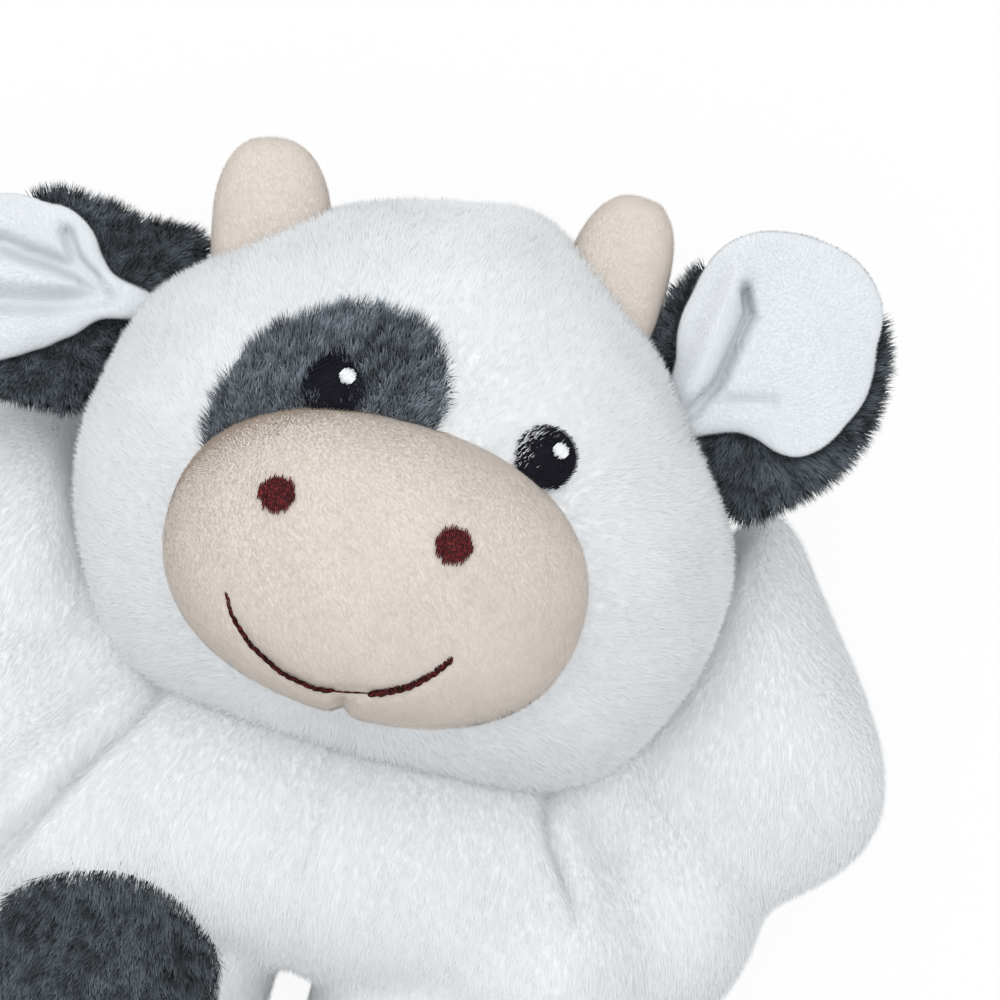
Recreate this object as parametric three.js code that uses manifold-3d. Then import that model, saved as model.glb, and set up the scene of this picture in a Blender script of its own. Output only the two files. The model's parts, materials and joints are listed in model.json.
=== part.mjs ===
// A plush cow with a rattle in its belly, lying on its back. Sizes in millimetres.
// X runs to the toy's own left, Y to its crown and Z up through its face.
// The origin is the middle of the flat that the back of the body rests on.

import * as THREE from 'three';
import { mergeVertices } from 'three/addons/utils/BufferGeometryUtils.js';
import Module from 'manifold-3d';

const wasm = await Module();
wasm.setup();

// Cloth and fits
const clothWall = 1.6; // pile fabric with its backing
const fitGap = 0.3; // clearance between pieces that touch
const seamGap = 0.4; // clearance between a stuffed limb and its socket
const turnGap = 1; // clearance round the head as it turns
const restCut = 0.5; // how deep the resting flats are pressed in

// Body
const bodyWidth = 104;
const bodyLength = 58;
const bodyDepth = 66;
const bodySquareness = 2.4;
const bodyTaper = 0.16; // how much narrower the shoulders are than the hips

// Head
const headWidth = 112;
const headLength = 96;
const headDepth = 87;
const headSquareness = 2.25;
const headShift = -3; // the head sits a little to the toy's right
const chinOverlap = 12; // how far the chin sinks into the top of the body
const neckRadius = 15;
const neckInsert = 5; // how far the neck reaches into the body
const neckOpening = 1; // how far the neck's bore runs past its end
const neckLift = 36; // height of the neck's axis above the floor
const neckTurn = 15; // degrees to either side

// Muzzle
const muzzleWidth = 69;
const muzzleLength = 47;
const muzzleDepth = 46;
const muzzleSquareness = 2.2;
const muzzleShift = -1.5; // to the toy's right
const muzzleDrop = 14; // below the middle of the head
const muzzleStand = 19; // how far it stands in front of the face

// Horns, by their tips' places from the middle of the head
const hornWidth = 18;
const hornDepth = 16;
const hornLength = 31;
const hornSquareness = 2.6;
const hornTaper = 0.06;
const hornLift = 5;
const leftHornSide = 25.5;
const leftHornRise = 58;
const leftHornLean = 3; // degrees to the toy's left
const rightHornSide = -38.5;
const rightHornRise = 51;
const rightHornLean = -16;

// Ears, by their hinges' places from the middle of the head
const earLength = 43;
const leftEarWidth = 43;
const rightEarWidth = 37; // this one is folded narrower
const earThickness = 7;
const earSquareness = 2.3;
const earTaper = -0.1; // a little narrower at the root
const earCup = 5; // how far the rims curl forward
const earBuried = 3; // length inside the hinge
const earLift = 4;
const leftEarSide = 44;
const leftEarRise = 24;
const leftEarAngle = 40; // degrees from the toy's left hand
const rightEarSide = -51;
const rightEarRise = 13.5;
const rightEarAngle = 172;
const liningShare = 0.8; // of the ear's length and width
const liningThickness = 3.4;
const liningLift = 2.4;
const earSwing = 15; // degrees either way

// Arms
const shoulderRadius = 11;
const shoulderSpread = 43; // of each shoulder from the centre line
const shoulderRise = 17; // above the middle of the body
const shoulderLift = 24; // above the floor
const armRadius = 24.5;
const armRootRadius = 20;
const handRadius = 19;
const armRootReach = 15; // how far the root reaches below the shoulder
const armRootLift = 23; // above the floor
const armOut = 24; // how far the elbow stands outside the shoulder
const handOut = 20; // and the hand
const elbowShare = 0.3; // of the way from the shoulder to the end of the hand
const leftArmReach = 61; // from the shoulder's height to the end of the hand
const rightArmReach = 50; // this hand lies lower, behind the ear
const armDepthShare = 0.84;
const armSwing = 20; // degrees, up and away from the head

// Legs
const hipRadius = 22;
const hipWidth = 54;
const hipSpread = 46;
const hipDrop = 18; // below the middle of the body
const legRootRadius = 28;
const thighRadius = 32;
const footRadius = 28;
const legReach = 57; // from the hip to the sole
const legSplay = 6; // how far the foot stands outside the hip
const kneeShare = 0.35; // of the way from the hip to the sole
const legDepthShare = 0.84;
const legSwing = 40; // degrees, forward

// Face
const eyeRadius = 5.6;
const eyeFlatness = 0.36;
const eyeRise = 10.5; // above the middle of the head
const leftEyeSide = 21; // from the middle of the head
const rightEyeSide = -13;
const glintRadius = 1.4;
const glintShare = 0.3; // of the eye's radius, up and to the toy's left
const patchSide = -13.5; // of the dark patch from the middle of the head
const patchRise = 10;
const patchWidth = 36;
const patchLength = 31;
const patchWall = 1.6; // the patch's pile, on the head's cloth
const nostrilRadius = 3.4;
const nostrilFlatness = 0.4;
const nostrilSpread = 13.5; // to each side of the nose
const noseShift = -3.4; // of the nose from the middle of the muzzle
const nostrilRise = 7.5; // above the middle of the muzzle
const mouthWidth = 35;
const mouthDrop = 9; // of its corners below the middle of the muzzle
const mouthSag = 9;
const threadRadius = 0.8;

// Spot on the right leg
const spotRadius = 21;
const spotSide = -35;
const spotDrop = 38;
const spotWall = 1.6;

// Rattle
const capsuleRadius = 14;
const capsuleWall = 1.6;
const capsuleLip = 1.4;
const capsuleDrop = 4; // below the middle of the body
const ballRadius = 2.4;
const ballRing = 6; // radius of the ring that the outer balls lie on
const outerBalls = 4;

// Materials
const whiteFur = finish(0xf1efec, 0.95);
const darkFur = finish(0x4b525e, 0.95);
const peachVelour = finish(0xf3cdb9, 0.9);
const whiteVelour = finish(0xefebe6, 0.9);
const fibre = finish(0xf7f7f5, 1);
const maroonThread = finish(0x4a2530, 0.6);
const whiteThread = finish(0xf4f4f4, 0.5);
const blackThread = finish(0x0c0c0e, 0.55);
const capsulePlastic = finish(0xdfe6ea, 0.35);
const ballPlastic = finish(0xd24a3c, 0.4);

function finish(color, roughness) {
  return new THREE.MeshStandardMaterial({ color, roughness, metalness: 0 });
}

function at(x, y, z) {
  return new THREE.Vector3(x, y, z);
}

// Places that follow from the sizes
const xAxis = at(1, 0, 0);
const yAxis = at(0, 1, 0);
const zAxis = at(0, 0, 1);
const hipAxis = at(-1, 0, 0); // a positive turn lifts the foot forward
const leftArmFacing = at(0.85, -0.4, -0.34); // away from the head, square to the flat it presses
const rightArmFacing = at(-0.77, -0.54, -0.34);
const armAboveLeg = at(0.08, 0.9, -0.42); // the same, away from the leg on that side
const bodyMiddle = at(0, 0, bodyDepth / 2 - restCut);
const chinHeight = bodyLength / 2 - chinOverlap;
const headMiddle = at(headShift, chinHeight + headLength / 2, headDepth / 2 - restCut);
const muzzleMiddle = at(
  muzzleShift,
  headMiddle.y - muzzleDrop,
  headMiddle.z + headDepth / 2 + muzzleStand - muzzleDepth / 2,
);
const neckPlace = at(0, chinHeight, neckLift);
const capsuleMiddle = at(0, -capsuleDrop, bodyMiddle.z);

const toy = new THREE.Group();

// A closed three.js geometry as a solid that can be cut and joined.
function solidOf(geometry) {
  const bare = geometry.clone();
  bare.deleteAttribute('normal');
  bare.deleteAttribute('uv');
  const merged = mergeVertices(bare, 1e-4);
  const mesh = new wasm.Mesh({
    numProp: 3,
    vertProperties: new Float32Array(merged.attributes.position.array),
    triVerts: new Uint32Array(merged.index.array),
  });
  return new wasm.Manifold(mesh);
}

function addPiece(name, solid, material) {
  const mesh = solid.getMesh();
  const geometry = new THREE.BufferGeometry();
  geometry.setAttribute('position', new THREE.BufferAttribute(mesh.vertProperties, 3));
  geometry.setIndex(new THREE.BufferAttribute(mesh.triVerts, 1));
  geometry.computeVertexNormals();
  const piece = new THREE.Mesh(geometry, material);
  piece.name = name;
  toy.add(piece);
}

// A stuffed form: a ball pushed out towards its corners, and narrower at its high-Y end by
// the taper. An optional bend shapes it about its own middle before it is placed.
function stuffedForm({ middle, size, squareness, taper = 0, around = 24, rings = 16, bend }, grow = 0) {
  const geometry = new THREE.SphereGeometry(1, around, rings);
  const half = size.clone().multiplyScalar(0.5).addScalar(grow);
  const places = geometry.attributes.position;
  const point = at(0, 0, 0);
  for (let i = 0; i < places.count; i += 1) {
    point.fromBufferAttribute(places, i);
    const reach = Math.abs(point.x) ** squareness
      + Math.abs(point.y) ** squareness
      + Math.abs(point.z) ** squareness;
    point.divideScalar(reach ** (1 / squareness));
    point.x *= 1 - taper * point.y;
    point.multiply(half);
    if (bend) bend(point, half);
    point.add(middle);
    places.setXYZ(i, point.x, point.y, point.z);
  }
  return geometry;
}

// A limb: a ball drawn out along a curve, with a radius at each of the curve's points.
// The depth share flattens it from front to back.
function limbForm({ points, radii, depthShare = 1, around = 18, rings = 14 }, grow = 0) {
  const path = new THREE.CatmullRomCurve3(points, false, 'centripetal');
  const widths = new THREE.SplineCurve(radii.map((radius, i) => new THREE.Vector2(i, radius)));
  const geometry = new THREE.SphereGeometry(1, around, rings);
  const places = geometry.attributes.position;
  const unit = at(0, 0, 0);
  for (let i = 0; i < places.count; i += 1) {
    unit.fromBufferAttribute(places, i);
    const share = (1 - unit.y) / 2;
    const along = path.getTangent(share);
    const side = at(0, 0, 0).crossVectors(zAxis, along).normalize();
    const front = at(0, 0, 0).crossVectors(along, side);
    const width = widths.getPoint(share).y;
    const place = path.getPoint(share)
      .addScaledVector(side, unit.x * (width + grow))
      .addScaledVector(front, unit.z * (width * depthShare + grow))
      .addScaledVector(along, -unit.y * grow);
    places.setXYZ(i, place.x, place.y, place.z);
  }
  return geometry;
}

function ballForm(middle, radius, around = 16, rings = 12) {
  return new THREE.SphereGeometry(radius, around, rings).translate(middle.x, middle.y, middle.z);
}

// A round bar along Y, and one along Z.
function barForm(x, z, lowY, highY, radius) {
  return new THREE.CylinderGeometry(radius, radius, highY - lowY, 20)
    .translate(x, (lowY + highY) / 2, z);
}

function postForm(x, y, lowZ, highZ, radius) {
  return new THREE.CylinderGeometry(radius, radius, highZ - lowZ, 20)
    .rotateX(Math.PI / 2)
    .translate(x, y, (lowZ + highZ) / 2);
}

function boxForm(low, high) {
  const size = high.clone().sub(low);
  const middle = low.clone().add(high).multiplyScalar(0.5);
  return new THREE.BoxGeometry(size.x, size.y, size.z).translate(middle.x, middle.y, middle.z);
}

// Material over a flat outline, from one height to another.
function prismForm(shape, low, high) {
  const settings = { depth: high - low, bevelEnabled: false, curveSegments: 10 };
  return new THREE.ExtrudeGeometry(shape, settings).translate(0, 0, low);
}

function ellipseShape(x, y, halfX, halfY) {
  const outline = new THREE.EllipseCurve(x, y, halfX, halfY, 0, 2 * Math.PI);
  return new THREE.Shape(outline.getPoints(20).slice(0, -1));
}

// A geometry turned about an axis through a point, in degrees.
function turned(geometry, pivot, axis, degrees) {
  const turn = new THREE.Matrix4().makeRotationAxis(axis, THREE.MathUtils.degToRad(degrees));
  return geometry.clone()
    .translate(-pivot.x, -pivot.y, -pivot.z)
    .applyMatrix4(turn)
    .translate(pivot.x, pivot.y, pivot.z);
}

// All that a geometry passes through as it turns from one angle to another.
function swept(geometry, pivot, axis, from, to, steps) {
  let total = solidOf(turned(geometry, pivot, axis, from));
  for (let i = 1; i <= steps; i += 1) {
    const degrees = from + ((to - from) * i) / steps;
    total = total.add(solidOf(turned(geometry, pivot, axis, degrees)));
  }
  return total;
}

// Height of a stuffed form's front over a place on its face.
function frontHeight({ middle, size, squareness }, x, y) {
  const spanX = (Math.abs(x - middle.x) / (size.x / 2)) ** squareness;
  const spanY = (Math.abs(y - middle.y) / (size.y / 2)) ** squareness;
  return middle.z + (size.z / 2) * Math.max(1 - spanX - spanY, 0) ** (1 / squareness);
}

const farOut = 300;
const floor = solidOf(boxForm(at(-farOut, -farOut, -farOut), at(farOut, farOut, 0)));

const body = {
  middle: bodyMiddle,
  size: at(bodyWidth, bodyLength, bodyDepth),
  squareness: bodySquareness,
  taper: bodyTaper,
};
const head = {
  middle: headMiddle,
  size: at(headWidth, headLength, headDepth),
  squareness: headSquareness,
  around: 28,
  rings: 20,
};
const plainHead = { ...head, around: 20, rings: 14 }; // for the room that it turns in
const muzzle = {
  middle: muzzleMiddle,
  size: at(muzzleWidth, muzzleLength, muzzleDepth),
  squareness: muzzleSquareness,
  around: 24,
  rings: 16,
};

// side is 1 on the toy's left and -1 on its right.
function shoulderPlace(side) {
  return at(side * shoulderSpread, shoulderRise, shoulderLift);
}

function armAxis(side) {
  return at(1, 0, -side).normalize();
}

function hipPlace(side) {
  return at(side * hipSpread, -hipDrop, thighRadius * legDepthShare - restCut);
}

// The round end of the leg, wide from side to side, that turns in the body's socket.
function hipForm(side, grow = 0) {
  const place = hipPlace(side);
  return new THREE.SphereGeometry(hipRadius + grow, 18, 12)
    .rotateZ(Math.PI / 2)
    .scale((hipWidth / 2 + grow) / (hipRadius + grow), 1, 1)
    .translate(place.x, place.y, place.z);
}

// Room that the head and the four limbs need in the body, with a clearance.
function bodyRoom(clearance) {
  let room = swept(stuffedForm(plainHead, turnGap + clearance), neckPlace, yAxis, -neckTurn, neckTurn, 2);
  for (const side of [1, -1]) {
    room = room.add(solidOf(ballForm(shoulderPlace(side), shoulderRadius + seamGap + clearance)));
    room = room.add(solidOf(hipForm(side, seamGap + clearance)));
  }
  return room;
}

function addBody() {
  const inside = solidOf(stuffedForm(body, -clothWall)).subtract(bodyRoom(clothWall));
  const neckEnd = chinHeight - neckInsert - seamGap;
  const neckHole = solidOf(barForm(neckPlace.x, neckPlace.z, neckEnd, farOut, neckRadius + seamGap));
  const cover = solidOf(stuffedForm(body))
    .subtract(bodyRoom(0))
    .subtract(inside)
    .subtract(neckHole)
    .subtract(floor);
  addPiece('body_cover', cover, whiteFur);

  const pocket = solidOf(ballForm(capsuleMiddle, capsuleRadius + fitGap));
  const filling = solidOf(stuffedForm(body, -clothWall - fitGap))
    .subtract(bodyRoom(clothWall + fitGap))
    .subtract(neckHole)
    .subtract(pocket);
  const front = boxForm(at(-farOut, -farOut, bodyMiddle.z + fitGap / 2), at(farOut, farOut, farOut));
  const back = boxForm(at(-farOut, -farOut, clothWall), at(farOut, farOut, bodyMiddle.z - fitGap / 2));
  addPiece('belly_filling_front', filling.intersect(solidOf(front)), fibre);
  addPiece('belly_filling_back', filling.intersect(solidOf(back)), fibre);
}

// The rattle: two plastic half balls, the back one with a lip that the front one drops over.
function addCapsule() {
  const { x, y, z } = capsuleMiddle;
  const inner = solidOf(ballForm(capsuleMiddle, capsuleRadius - capsuleWall));
  const shell = solidOf(ballForm(capsuleMiddle, capsuleRadius)).subtract(inner);
  const lipRadius = capsuleRadius - capsuleWall / 2 - fitGap / 2;
  const lip = solidOf(postForm(x, y, z - capsuleLip, z + capsuleLip, lipRadius)).subtract(inner);
  const lipRoom = postForm(x, y, z - capsuleLip, z + capsuleLip + fitGap, lipRadius + fitGap);
  const frontHalf = boxForm(at(-farOut, -farOut, z + fitGap / 2), at(farOut, farOut, farOut));
  const backHalf = boxForm(at(-farOut, -farOut, 0), at(farOut, farOut, z - fitGap / 2));
  addPiece('capsule_front', shell.intersect(solidOf(frontHalf)).subtract(solidOf(lipRoom)), capsulePlastic);
  addPiece('capsule_back', shell.intersect(solidOf(backHalf)).add(lip), capsulePlastic);
}

// Loose balls, lying where they roll to in the back half of the capsule.
function addBalls() {
  const reach = capsuleRadius - capsuleWall - fitGap - ballRadius;
  const places = [at(0, 0, -reach)];
  for (let i = 0; i < outerBalls; i += 1) {
    const angle = (2 * Math.PI * (i + 0.5)) / outerBalls;
    const drop = Math.sqrt(reach ** 2 - ballRing ** 2);
    places.push(at(ballRing * Math.cos(angle), ballRing * Math.sin(angle), -drop));
  }
  places.forEach((place, i) => {
    const loose = solidOf(ballForm(place.add(capsuleMiddle), ballRadius, 8, 6));
    addPiece(`rattle_ball_${i + 1}`, loose, ballPlastic);
  });
}

function addHead() {
  const neckEnd = chinHeight - neckInsert;
  const neck = barForm(neckPlace.x, neckPlace.z, neckEnd, headMiddle.y, neckRadius);
  const openEnd = neckEnd - neckOpening;
  const bore = barForm(neckPlace.x, neckPlace.z, openEnd, headMiddle.y, neckRadius - clothWall);
  const inside = solidOf(stuffedForm(plainHead, -clothWall)).add(solidOf(bore));
  const cover = solidOf(stuffedForm(head))
    .add(solidOf(neck))
    .subtract(inside)
    .subtract(floor);
  addPiece('head_cover', cover, whiteFur);

  const plugRadius = neckRadius - clothWall - fitGap;
  const plug = barForm(neckPlace.x, neckPlace.z, neckEnd, headMiddle.y, plugRadius);
  const filling = solidOf(stuffedForm(plainHead, -clothWall - fitGap));
  addPiece('head_filling', filling.add(solidOf(plug)), fibre);

  const snout = solidOf(stuffedForm(muzzle)).subtract(solidOf(stuffedForm(head, fitGap)));
  addPiece('muzzle', snout, peachVelour);
}

// A blunt stuffed horn. Its tip lies side and rise from the middle of the head, and it leans to
// the toy's left by an angle in degrees.
function addHorn(name, side, rise, lean) {
  const tip = headMiddle.clone().add(at(side, rise, hornLift));
  const horn = stuffedForm({
    middle: at(0, -hornLength / 2, 0),
    size: at(hornWidth, hornLength, hornDepth),
    squareness: hornSquareness,
    taper: hornTaper,
    around: 18,
    rings: 12,
  }).rotateZ(-THREE.MathUtils.degToRad(lean)).translate(tip.x, tip.y, tip.z);
  addPiece(name, solidOf(horn).subtract(solidOf(stuffedForm(head, fitGap))), peachVelour);
}

// An ear and its lining: two cupped leaves, one on the other, that hinge where they meet the
// head. The hinge lies side and rise from the middle of the head, and the ear points along an
// angle in degrees from the toy's left hand.
function addEar(name, width, side, rise, angle) {
  const place = headMiddle.clone().add(at(side, rise, earLift));
  const facing = THREE.MathUtils.degToRad(angle - 90);
  const hinge = xAxis.clone().applyAxisAngle(zAxis, facing);
  const cup = (point) => {
    point.z += earCup * (point.x / (width / 2)) ** 2;
  };
  const leaf = (share, thickness, lift) => stuffedForm({
    middle: at(0, earLength / 2 - earBuried, lift),
    size: at(width * share, earLength * share, thickness),
    squareness: earSquareness,
    taper: earTaper,
    around: 18,
    rings: 10,
    bend: cup,
  }).rotateZ(facing).translate(place.x, place.y, place.z);
  const skull = swept(stuffedForm(head, fitGap), place, hinge, -earSwing, earSwing, 2);
  const back = leaf(1, earThickness, 0);
  const lining = solidOf(leaf(liningShare, liningThickness, liningLift))
    .subtract(solidOf(back.clone().translate(0, 0, fitGap)))
    .subtract(skull);
  addPiece(`${name}_back`, solidOf(back).subtract(skull), darkFur);
  addPiece(`${name}_lining`, lining, whiteVelour);
}

function armForm(side) {
  const { x, y } = shoulderPlace(side);
  const reach = side > 0 ? leftArmReach : rightArmReach;
  return {
    points: [
      at(x + (side * armOut) / 2, y - armRootReach, armRootLift),
      at(x + side * armOut, y + reach * elbowShare, armRadius * armDepthShare + restCut),
      at(x + side * handOut, y + reach, handRadius * armDepthShare),
    ],
    radii: [armRootRadius, armRadius, handRadius],
    depthShare: armDepthShare,
  };
}

// The head as it meets an arm, over the turns of both.
function headPastArm(shoulder, axis) {
  const steps = 2;
  let total = swept(stuffedForm(plainHead, turnGap), neckPlace, yAxis, -neckTurn, neckTurn, 2);
  for (let i = 1; i <= steps; i += 1) {
    const back = (-armSwing * i) / steps;
    for (const turn of [-neckTurn, 0, neckTurn]) {
      const turnedHead = turned(stuffedForm(plainHead, turnGap), neckPlace, yAxis, turn);
      total = total.add(solidOf(turned(turnedHead, shoulder, axis, back)));
    }
  }
  return total;
}

// The leg as it meets an arm, over the turns of both.
function legPastArm(side, shoulder, axis) {
  const leg = solidOf(limbForm(legForm(side), seamGap)).add(solidOf(hipForm(side, seamGap)));
  const { x, y, z } = hipPlace(side);
  let total = leg;
  for (const lift of [0, legSwing / 2, legSwing]) {
    const lifted = leg.translate(-x, -y, -z).rotate(-lift, 0, 0).translate(x, y, z);
    for (const back of [0, -armSwing / 2, -armSwing]) {
      const turn = new THREE.Matrix4().makeRotationAxis(axis, THREE.MathUtils.degToRad(back));
      const moved = lifted.translate(-shoulder.x, -shoulder.y, -shoulder.z)
        .transform(turn.elements)
        .translate(shoulder.x, shoulder.y, shoulder.z);
      total = total.add(moved);
    }
  }
  return total;
}

// A solid pressed flat where another one leans on it, facing along a direction.
function pressedBy(solid, other, facing) {
  const direction = facing.clone().normalize();
  const places = other.getMesh().vertProperties;
  let reach = -farOut;
  for (let i = 0; i < places.length; i += 3) {
    reach = Math.max(reach, at(places[i], places[i + 1], places[i + 2]).dot(direction));
  }
  return solid.trimByPlane(direction.toArray(), reach);
}

function addArm(name, side) {
  const place = shoulderPlace(side);
  const axis = armAxis(side);
  const arm = solidOf(limbForm(armForm(side)))
    .subtract(swept(stuffedForm(body, seamGap), place, axis, -armSwing, 0, 2))
    .add(solidOf(ballForm(place, shoulderRadius)))
    .subtract(floor);
  const besideHead = pressedBy(arm, headPastArm(place, axis), side > 0 ? leftArmFacing : rightArmFacing);
  const aboveLeg = at(side * armAboveLeg.x, armAboveLeg.y, armAboveLeg.z);
  addPiece(name, pressedBy(besideHead, legPastArm(side, place, axis), aboveLeg), whiteFur);
}

function legForm(side) {
  const { x, y } = hipPlace(side);
  return {
    points: [
      at(x, y + legRootRadius / 2, legRootRadius * legDepthShare),
      at(x + side * legSplay * kneeShare, y - legReach * kneeShare, thighRadius * legDepthShare - restCut),
      at(x + side * legSplay, y - legReach, footRadius * legDepthShare),
    ],
    radii: [legRootRadius, thighRadius, footRadius],
    depthShare: legDepthShare,
  };
}

function addLeg(name, side) {
  const leg = solidOf(limbForm(legForm(side)))
    .subtract(swept(stuffedForm(body, seamGap), hipPlace(side), hipAxis, -legSwing, 0, 3))
    .add(solidOf(hipForm(side)))
    .subtract(floor);
  addPiece(name, leg, whiteFur);
}

// The dark spot that is let into the front of the right leg.
function addLegSpot() {
  const side = -1;
  const outline = ellipseShape(spotSide, -spotDrop, spotRadius, spotRadius);
  const spot = solidOf(limbForm(legForm(side), fitGap + spotWall))
    .subtract(solidOf(limbForm(legForm(side), fitGap)))
    .intersect(solidOf(prismForm(outline, bodyMiddle.z, farOut)))
    .subtract(swept(stuffedForm(body, seamGap), hipPlace(side), hipAxis, -legSwing, 0, 3))
    .subtract(solidOf(hipForm(side, fitGap)));
  addPiece('leg_spot', spot, darkFur);
}

function addEyePatch() {
  const outline = ellipseShape(
    headMiddle.x + patchSide, headMiddle.y + patchRise, patchWidth / 2, patchLength / 2,
  );
  const patch = solidOf(stuffedForm(head, fitGap + patchWall))
    .subtract(solidOf(stuffedForm(head, fitGap)))
    .intersect(solidOf(prismForm(outline, headMiddle.z, farOut)))
    .subtract(solidOf(stuffedForm(muzzle, fitGap)));
  addPiece('eye_patch', patch, darkFur);
}

// A stitched eye with a pale glint, standing on the face at a height over its cloth.
function addEye(name, side, height) {
  const x = headMiddle.x + side;
  const y = headMiddle.y + eyeRise;
  const z = frontHeight(head, x, y) + height;
  const dome = (grow) => new THREE.SphereGeometry(eyeRadius + grow, 16, 10)
    .scale(1, 1, eyeFlatness)
    .translate(x, y, z);
  const face = solidOf(stuffedForm(head, fitGap + height)).add(solidOf(stuffedForm(muzzle, fitGap)));
  addPiece(`eye_${name}`, solidOf(dome(0)).subtract(face), blackThread);

  const lift = eyeRadius * eyeFlatness * Math.sqrt(1 - 2 * glintShare ** 2);
  const glintPlace = at(x + eyeRadius * glintShare, y + eyeRadius * glintShare, z + lift);
  const glint = solidOf(ballForm(glintPlace, glintRadius, 8, 6)).subtract(solidOf(dome(fitGap)));
  addPiece(`glint_${name}`, glint, whiteThread);
}

function addNostril(name, side) {
  const x = muzzleMiddle.x + noseShift + side * nostrilSpread;
  const y = muzzleMiddle.y + nostrilRise;
  const pad = new THREE.SphereGeometry(nostrilRadius, 16, 10)
    .scale(1, 1, nostrilFlatness)
    .translate(x, y, frontHeight(muzzle, x, y) + fitGap);
  const snout = solidOf(stuffedForm(muzzle, fitGap));
  addPiece(name, solidOf(pad).subtract(snout), maroonThread);
}

// The smile: a stitched line that lies on the muzzle and sags between its corners.
function addMouth() {
  const points = [];
  for (let i = -5; i <= 5; i += 1) {
    const share = i / 5;
    const x = muzzleMiddle.x + noseShift + (share * mouthWidth) / 2;
    const y = muzzleMiddle.y - mouthDrop - mouthSag * (1 - share ** 2);
    points.push(at(x, y, frontHeight(muzzle, x, y) + fitGap + threadRadius));
  }
  const section = new THREE.Shape(
    new THREE.EllipseCurve(0, 0, threadRadius, threadRadius).getPoints(6).slice(0, -1),
  );
  const line = new THREE.ExtrudeGeometry(section, {
    steps: 16,
    bevelEnabled: false,
    extrudePath: new THREE.CatmullRomCurve3(points),
  });
  addPiece('mouth_stitch', solidOf(line).subtract(solidOf(stuffedForm(muzzle, fitGap))), maroonThread);
}

addBody();
addCapsule();
addBalls();
addHead();
addHorn('horn_left', leftHornSide, leftHornRise, leftHornLean);
addHorn('horn_right', rightHornSide, rightHornRise, rightHornLean);
addEar('ear_left', leftEarWidth, leftEarSide, leftEarRise, leftEarAngle);
addEar('ear_right', rightEarWidth, rightEarSide, rightEarRise, rightEarAngle);
addEyePatch();
addEye('left', leftEyeSide, 0);
addEye('right', rightEyeSide, patchWall + fitGap);
addNostril('nostril_left', 1);
addNostril('nostril_right', -1);
addMouth();
addArm('arm_left', 1);
addArm('arm_right', -1);
addLeg('leg_left', 1);
addLeg('leg_right', -1);
addLegSpot();

export default toy;
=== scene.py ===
"""A plush cow with a rattle in its belly, lying on its back: pile fabric over stuffed forms."""

import json
from functools import cache
from random import Random
from math import atan2, cos, hypot, pi, radians, sin

import bmesh
import bpy
import numpy as np
from mathutils import Matrix, Vector
from mathutils.bvhtree import BVHTree

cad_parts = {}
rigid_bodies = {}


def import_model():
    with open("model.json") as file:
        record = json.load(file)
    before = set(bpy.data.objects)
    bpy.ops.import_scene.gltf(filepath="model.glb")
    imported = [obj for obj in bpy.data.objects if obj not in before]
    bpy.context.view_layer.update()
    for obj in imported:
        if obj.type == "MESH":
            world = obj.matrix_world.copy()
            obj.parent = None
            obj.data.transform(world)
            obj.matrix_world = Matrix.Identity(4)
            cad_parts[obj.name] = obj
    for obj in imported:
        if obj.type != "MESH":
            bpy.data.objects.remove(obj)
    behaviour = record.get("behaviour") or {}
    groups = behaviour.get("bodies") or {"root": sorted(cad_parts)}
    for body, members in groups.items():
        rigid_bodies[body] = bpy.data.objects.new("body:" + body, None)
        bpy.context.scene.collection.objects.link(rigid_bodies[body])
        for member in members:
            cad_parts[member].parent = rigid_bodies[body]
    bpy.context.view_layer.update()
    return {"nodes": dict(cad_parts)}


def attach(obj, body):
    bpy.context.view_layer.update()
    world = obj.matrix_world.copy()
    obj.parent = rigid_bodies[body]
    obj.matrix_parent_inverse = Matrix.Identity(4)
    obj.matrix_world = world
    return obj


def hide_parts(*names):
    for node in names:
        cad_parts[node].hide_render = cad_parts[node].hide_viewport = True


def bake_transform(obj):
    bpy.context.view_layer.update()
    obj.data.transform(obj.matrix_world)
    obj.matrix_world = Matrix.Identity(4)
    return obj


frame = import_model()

MM = 0.001

bl_info = {
    "name": "Plush cow rattle",
    "version": (1, 0, 0),
    "blender": (4, 5, 0),
    "location": "3D View > Sidebar > Plush cow",
    "description": "A stuffed cow with pile fabric, stitched features and a rattle",
    "category": "Object",
}


def pile_length(fabric, millimetres):
    return bpy.props.FloatProperty(
        name=f"{fabric} length", description="Length of the fabric's pile",
        default=millimetres * MM, unit="LENGTH")


def pile_density(fabric, default):
    return bpy.props.FloatProperty(
        name=f"{fabric} density", description="Strands to a square millimetre", default=default)


def fabric_colour(name, where, default):
    return bpy.props.FloatVectorProperty(
        name=name, description=where, subtype="COLOR", default=default)


class PileSettings(bpy.types.PropertyGroup):
    white_length: pile_length("White pile", 2.1)
    white_density: pile_density("White pile", 6.0)
    dark_length: pile_length("Dark pile", 2.7)
    dark_density: pile_density("Dark pile", 12.0)
    velour_length: pile_length("Velour", 0.8)
    velour_density: pile_density("Velour", 12.0)


class PlushColours(bpy.types.PropertyGroup):
    white: fabric_colour("White pile", "Tips of the white fabric", (0.865, 0.88, 0.89))
    slate: fabric_colour("Slate pile", "Tips of the dark fabric", (0.30, 0.345, 0.39))
    peach: fabric_colour("Peach velour", "Muzzle and horns", (0.725, 0.665, 0.61))
    lining: fabric_colour("White velour", "Linings of the ears", (0.76, 0.785, 0.805))
    maroon: fabric_colour("Maroon thread", "Nostrils and mouth", (0.045, 0.012, 0.014))
    black: fabric_colour("Black thread", "Eyes", (0.008, 0.008, 0.013))


def applied(obj):
    """Gives an object the mesh that its modifiers make, and drops the modifiers."""
    shaped = obj.evaluated_get(bpy.context.evaluated_depsgraph_get())
    mesh = bpy.data.meshes.new_from_object(shaped)
    mesh.name = obj.name
    obj.modifiers.clear()
    obj.data = mesh
    return obj


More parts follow.
